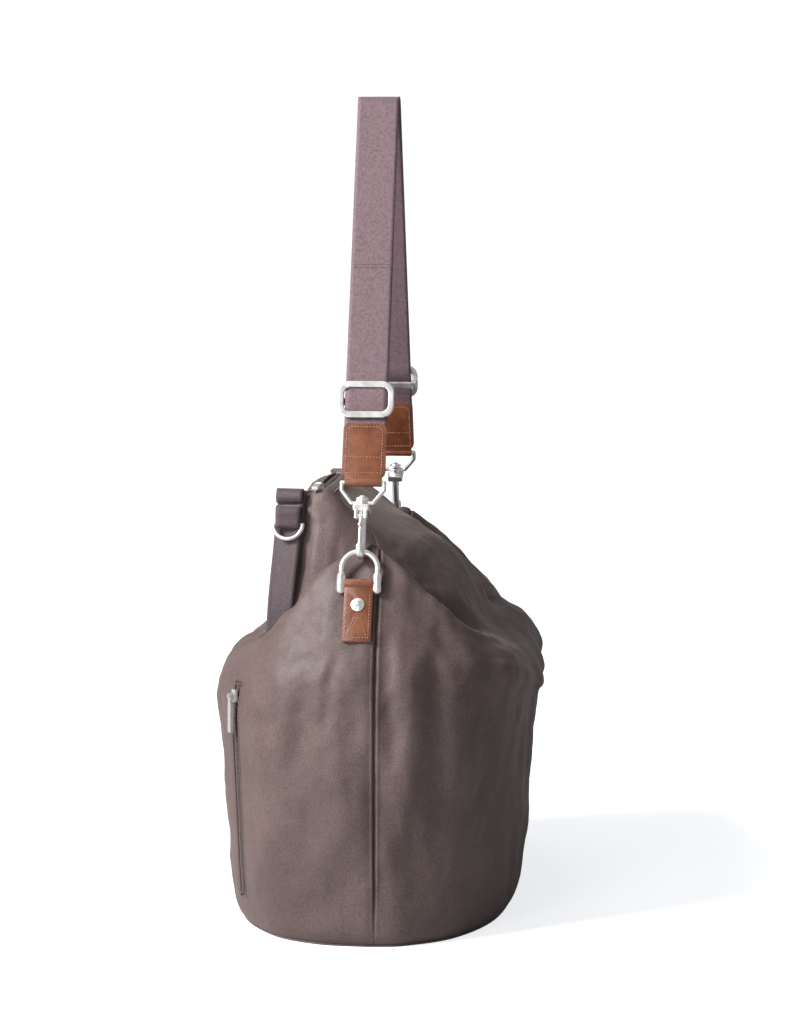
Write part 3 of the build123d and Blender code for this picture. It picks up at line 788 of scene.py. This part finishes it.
# webbing strip at the zip's near end, with its loop and end tab
keyLook = {"width": 0.025, "thick": 0.0015, "sewnIn": 0.0026, "sewnUp": 0.0008, "sewnFrom": 12}
keyPath = [(-0.064, -0.0925, 0.3915), (-0.067, -0.0965, 0.390), (-0.0695, -0.1005, 0.383),
           (-0.071, -0.1065, 0.366), (-0.072, -0.1115, 0.352), (-0.0735, -0.1165, 0.332),
           (-0.0755, -0.1190, 0.312), (-0.0775, -0.1205, 0.290), (-0.0790, -0.1190, 0.270),
           (-0.0800, -0.1160, 0.256)]
keyCentres = smoothThrough(keyPath, [8] * (len(keyPath) - 1), False)
keyAcross = np.array([Vector((1, -0.16 - 0.25 * part, 0)).normalized()[:]
                      for part in np.linspace(0, 1, len(keyCentres))])
ribbon("keyStrip", keyCentres, keyAcross, keyLook["width"], keyLook["thick"], shadedStripWebbingMat, "bag",
       ["key_strip"], cells=8)
keyFace = np.cross(np.gradient(keyCentres, axis=0), keyAcross)
keyFace /= np.linalg.norm(keyFace, axis=1, keepdims=True)
runs = []
for side in (-1, 1):
    shift = keyAcross * side * (keyLook["width"] / 2 - keyLook["sewnIn"]) + keyFace * keyLook["sewnUp"]
    sewn = (keyCentres + shift)[keyLook["sewnFrom"]:]
    runs.append([(tuple(place), tuple(face)) for place, face in zip(sewn, keyFace[keyLook["sewnFrom"]:])])
stitches("keyStripStitches", runs, threadMat, "bag", "webbing", pitch=0.0030, long=0.0023, wide=0.0006)

barLow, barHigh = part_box("key_loop")
loopX = (barLow[0] + barHigh[0]) / 2
barY, barZ = -0.1128, 0.363      # the D ring's bar
loopRound = [(loopX, barY + 0.0027 * math.sin(turn), barZ - 0.0027 * math.cos(turn))
             for turn in np.linspace(-1.75, 1.75, 13)]
loopPath = [(loopX, -0.1066, barZ + 0.0165), (loopX, barY - 0.0012, barZ + 0.0150),
            (loopX, barY - 0.0016, barZ + 0.010), (loopX, barY - 0.0022, barZ + 0.0045)]
loopPath += loopRound + [(loopX, barY + 0.0021, barZ + 0.0045), (loopX, barY + 0.0008, barZ + 0.010),
                         (loopX, barY + 0.0024, barZ + 0.0150)]
ribbon("keyLoop", loopPath, (1, 0, 0), 0.0225, 0.0012, shadedStripWebbingMat, "bag", ["key_loop"], cells=6)
stitches("keyLoopStitches", [[((loopX + x, barY - 0.0024, barZ + 0.0098), (0, -1, 0.1))
                              for x in (-0.0095, 0.0095)]], threadMat, "bag", "webbing",
         pitch=0.0026, long=0.0021, wide=0.0006)
endTab = [(-0.071, -0.0905, 0.3905), (-0.071, -0.0960, 0.3935), (-0.071, -0.1015, 0.3925),
          (-0.071, -0.1050, 0.3880), (-0.071, -0.1040, 0.3830), (-0.071, -0.1000, 0.3815)]
ribbon("zipEndTab", smoothThrough(endTab, [5] * 5, False), (0.99, -0.14, 0), 0.0245, 0.0014, shadedStripWebbingMat,
       "bag", ["near_zip_end_tab"], cells=8)
softCopy("far_zip_end_tab", "farZipEndTab", "bag", softLeatherMat, bevel=0.0008)
print("key strip made")

# what follows the leather's surface is placed by rays
trees = {}
for side, panel in panels.items():
    trees[side] = BVHTree.FromObject(panel, bpy.context.evaluated_depsgraph_get())


def onLeather(side, place, direction):
    hit, normal, _, _ = trees[side].ray_cast(Vector(place), Vector(direction).normalized())
    return (hit, normal) if hit else (None, None)


def pocketLine(off, low, high, count, rise):
    # a line up the leather beside the pocket zip; rise is above the surface
    turn = pocketLook["turn"]
    inward = Vector((math.cos(turn), math.sin(turn), 0))
    along = Vector((-math.sin(turn), math.cos(turn), 0))
    made = []
    for z in np.linspace(low, high, count):
        start = Vector((0, 0, z)) - inward * 0.3 + along * (off + pocketLook["off"])
        hit, normal = onLeather("left", start, inward)
        if hit:
            made.append((hit + normal * rise, normal))
    return made


def tube(name, points, radius, material, body, sides=10, closed=False):
    curve = bpy.data.curves.new(name, "CURVE")
    curve.dimensions = "3D"
    curve.bevel_depth = radius
    curve.bevel_resolution = sides // 4
    curve.use_fill_caps = True
    spline = curve.splines.new("POLY")
    spline.points.add(len(points) - 1)
    for point, place in zip(spline.points, points):
        point.co = (*place, 1)
    spline.use_cyclic_u = closed
    obj = bpy.data.objects.new(name, curve)
    bpy.context.scene.collection.objects.link(obj)
    selectOnly(obj)
    bpy.ops.object.convert(target="MESH")
    obj = bpy.context.active_object
    obj.data.materials.clear()
    obj.data.materials.append(material)
    bpy.ops.object.shade_smooth()
    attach(obj, body)
    return obj


leatherSewing = {"pitch": 0.0034, "long": 0.0026, "wide": 0.0007}
for name, side in (("Left", -1), ("Right", 1)):
    line = pocketLine(side * pocketLook["welt"], 0.026, 0.224, 90, 0.0003)
    tube("pocketWelt" + name, [place for place, _ in line], pocketLook["weltRadius"], softLeatherMat,
         "bag")
    stitchLine = pocketLine(side * pocketLook["sewn"], 0.022, 0.228, 70, 0.0)
    stitches("pocketStitches" + name, [[(tuple(place), tuple(normal)) for place, normal in stitchLine]],
             threadMat, "bag", "body_leather", rise=0.0001, **leatherSewing)
middle = pocketLine(0.0, 0.027, 0.223, 90, 0.0010)
tapePoints = [tuple(place) for place, _ in middle]
tapeAcross = (-math.sin(pocketLook["turn"]), math.cos(pocketLook["turn"]), 0)
ribbon("pocketTape", tapePoints, tapeAcross, pocketLook["tape"], pocketLook["tapeThick"], tapeMat,
       "bag", ["pocket_zip_tape"], cells=4)


def zipTeeth(name, line, body, replaced, pitch=0.0021, wide=0.0050, rise=0.0010):
    # both rows of coil teeth along a line of (place, normal)
    places = np.array([tuple(place) for place, _ in line])
    normals = np.array([tuple(normal) for _, normal in line])
    length = np.concatenate([[0], np.cumsum(np.linalg.norm(np.diff(places, axis=0), axis=1))])
    points, faces = [], []
    for tooth in range(int(length[-1] / pitch)):
        at = (tooth + 0.5) * pitch
        spot = np.array([np.interp(at, length, places[:, axis]) for axis in range(3)])
        along = np.array([np.interp(at + 0.001, length, places[:, axis]) for axis in range(3)]) - spot
        along /= np.linalg.norm(along) + 1e-12
        normal = np.array([np.interp(at, length, normals[:, axis]) for axis in range(3)])
        normal /= np.linalg.norm(normal)
        across = np.cross(normal, along)
        first = len(points)
        side = 1 if tooth % 2 else -1
        for x, y, z in stitchPoints:
            points.append(spot + across * (x * wide * 0.72 + side * wide * 0.14)
                          + along * y * 2.6 * pitch * 0.62 + normal * (z * 0.0021 + rise))
        faces.extend([tuple(first + index for index in face) for face in stitchFaces])
    mesh = bpy.data.meshes.new(name)
    mesh.from_pydata([tuple(point) for point in points], [], faces)
    mesh.materials.append(teethMat)
    mesh.update()
    piece = bpy.data.objects.new(name, mesh)
    bpy.context.scene.collection.objects.link(piece)
    selectOnly(piece)
    bpy.ops.object.mode_set(mode="EDIT")
    bpy.ops.mesh.select_all(action="SELECT")
    bpy.ops.mesh.normals_make_consistent(inside=False)
    bpy.ops.object.mode_set(mode="OBJECT")
    bpy.ops.object.shade_smooth()
    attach(piece, body)
    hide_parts(replaced)
    return piece


zipTeeth("pocketZipTeeth", pocketLine(0.0, 0.028, 0.222, 90, 0.0012), "bag", "pocket_zip_chain")
chainLow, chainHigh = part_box("main_zip_chain")
mainLine = [((-0.048, y, chainLow[2]), (0, 0, 1)) for y in np.linspace(chainLow[1], chainHigh[1], 40)]
zipTeeth("mainZipTeeth", mainLine, "bag", "main_zip_chain")
for side, x in (("left", -0.0585), ("right", -0.0375)):
    line = []
    for y in np.linspace(-0.082, 0.082, 70):
        hit, normal = onLeather(side, (x, y, 0.6), (0, 0, -1))
        if hit:
            line.append((tuple(hit), tuple(normal)))
    stitches("mainZipStitches" + side.title(), [line], threadMat, "bag", "body_leather", **leatherSewing)

# the base and its piping
baseLook = {"thick": 0.0022, "lift": 0.0006, "piping": 0.0019, "rings": 9}
baseRing = grid[:, 0]
hoops = []
for part in np.linspace(1.0, 0.02, baseLook["rings"]):
    hoops.append(baseRing * np.array([part, part, 0]) + np.array([0, 0, baseLook["lift"] * (2 - part)]))
baseSheet = np.stack(hoops, axis=1)[:, ::-1]
basePanel = meshFromGrid("basePanel", baseSheet, softLeatherMat, closedRound=True)
applyModifier(basePanel, "SOLIDIFY", thickness=baseLook["thick"], offset=1.0, use_rim=True)
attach(basePanel, "bag")
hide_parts("bottom_panel")
pipeRing = grid[::3, 2] + outward[::3, 2] * baseLook["lift"]
tube("basePiping", [tuple(place) for place in pipeRing], baseLook["piping"], softLeatherMat, "bag",
     closed=True)
print("base made")

# CAD nodes that stay in view
slotMaterials = {"nickel": nickelMat, "tan_leather": tanLeatherMat, "webbing": webbingMat,
                 "zip_tape": tapeMat, "zip_teeth": teethMat, "lining": liningMat, "board": boardMat,
                 "body_leather": softLeatherMat, "end_leather": softLeatherMat}
for entry in frame["record"]["subparts"]:
    node = nodes[entry["node"]]
    if node.hide_render:
        continue
    node.data.materials.clear()
    node.data.materials.append(slotMaterials[entry["material_slot"]])
    selectOnly(node)
    bpy.ops.object.shade_smooth_by_angle(angle=math.radians(35))

# camera, floor and light
cameraPlace = {"spot": (0.278, -2.594, 0.674), "turn": 5.7, "tilt": -6.8, "lens": 98.6}
cameraData = bpy.data.cameras.new("camera")
cameraData.sensor_width = 36.0
cameraData.lens = cameraPlace["lens"]
cameraData.clip_end = 60
camera = bpy.data.objects.new("camera", cameraData)
bpy.context.scene.collection.objects.link(camera)
camera.location = cameraPlace["spot"]
camera.rotation_euler = (math.radians(90 + cameraPlace["tilt"]), 0, math.radians(cameraPlace["turn"]))
bpy.context.scene.camera = camera


def makePaper():
    mat, tree, shader = newMaterial("paper")
    shader.inputs["Base Color"].default_value = (0.55, 0.56, 0.58, 1)
    shader.inputs["Roughness"].default_value = 0.8
    shader.inputs["Emission Color"].default_value = (0.97, 0.98, 1.0, 1)
    place = tree.nodes.new("ShaderNodeTexCoord").outputs["Object"]
    far = tree.nodes.new("ShaderNodeVectorMath")
    far.operation = "LENGTH"
    tree.links.new(place, far.inputs[0])
    glow = tree.nodes.new("ShaderNodeMapRange")
    for socket, value in zip(("From Min", "From Max", "To Min", "To Max"), (0.35, 2.0, 0.78, 1.0)):
        glow.inputs[socket].default_value = value
    tree.links.new(far.outputs["Value"], glow.inputs["Value"])
    onlySeen = tree.nodes.new("ShaderNodeLightPath").outputs["Is Camera Ray"]
    tree.links.new(mathNode(tree, "MULTIPLY", glow.outputs["Result"], onlySeen),
                   shader.inputs["Emission Strength"])
    return mat


def areaLight(name, spot, aim, size, power, colour=(1, 1, 1)):
    data = bpy.data.lights.new(name, "AREA")
    data.shape = "RECTANGLE"
    data.size, data.size_y = size
    data.energy = power
    data.color = colour
    light = bpy.data.objects.new(name, data)
    bpy.context.scene.collection.objects.link(light)
    light.location = spot
    light.rotation_euler = (Vector(aim) - Vector(spot)).to_track_quat("-Z", "Y").to_euler()
    return light


bpy.ops.object.select_all(action="DESELECT")
bpy.ops.mesh.primitive_plane_add(size=60.0, location=(0, 0, -0.0002))
floor = bpy.context.active_object
floor.name = "paperFloor"
floor.data.materials.append(makePaper())
world = bpy.data.worlds.new("studio")
bpy.context.scene.world = world
world.use_nodes = True
skyTree = world.node_tree
sky = skyTree.nodes["Background"]
sky.inputs[0].default_value = (0.97, 0.975, 1.0, 1)
seen = skyTree.nodes.new("ShaderNodeLightPath")
bright = mathNode(skyTree, "ADD", mathNode(skyTree, "MULTIPLY", seen.outputs["Is Camera Ray"], 0.93),
                  mathNode(skyTree, "MULTIPLY", seen.outputs["Is Glossy Ray"], 0.32))
skyTree.links.new(mathNode(skyTree, "ADD", bright, 0.14), sky.inputs[1])
areaLight("keyLeft", (-2.1, -1.35, 2.1), (0, 0, 0.30), (0.9, 1.1), 168, (1.0, 0.985, 0.975))
areaLight("frontFill", (-1.6, -3.0, 0.9), (0, 0, 0.30), (1.0, 1.0), 32)
areaLight("topSoft", (-0.5, -0.3, 2.7), (0, 0, 0.2), (1.2, 1.2), 10)
bpy.context.scene.view_settings.view_transform = "Standard"
print("camera and light set")
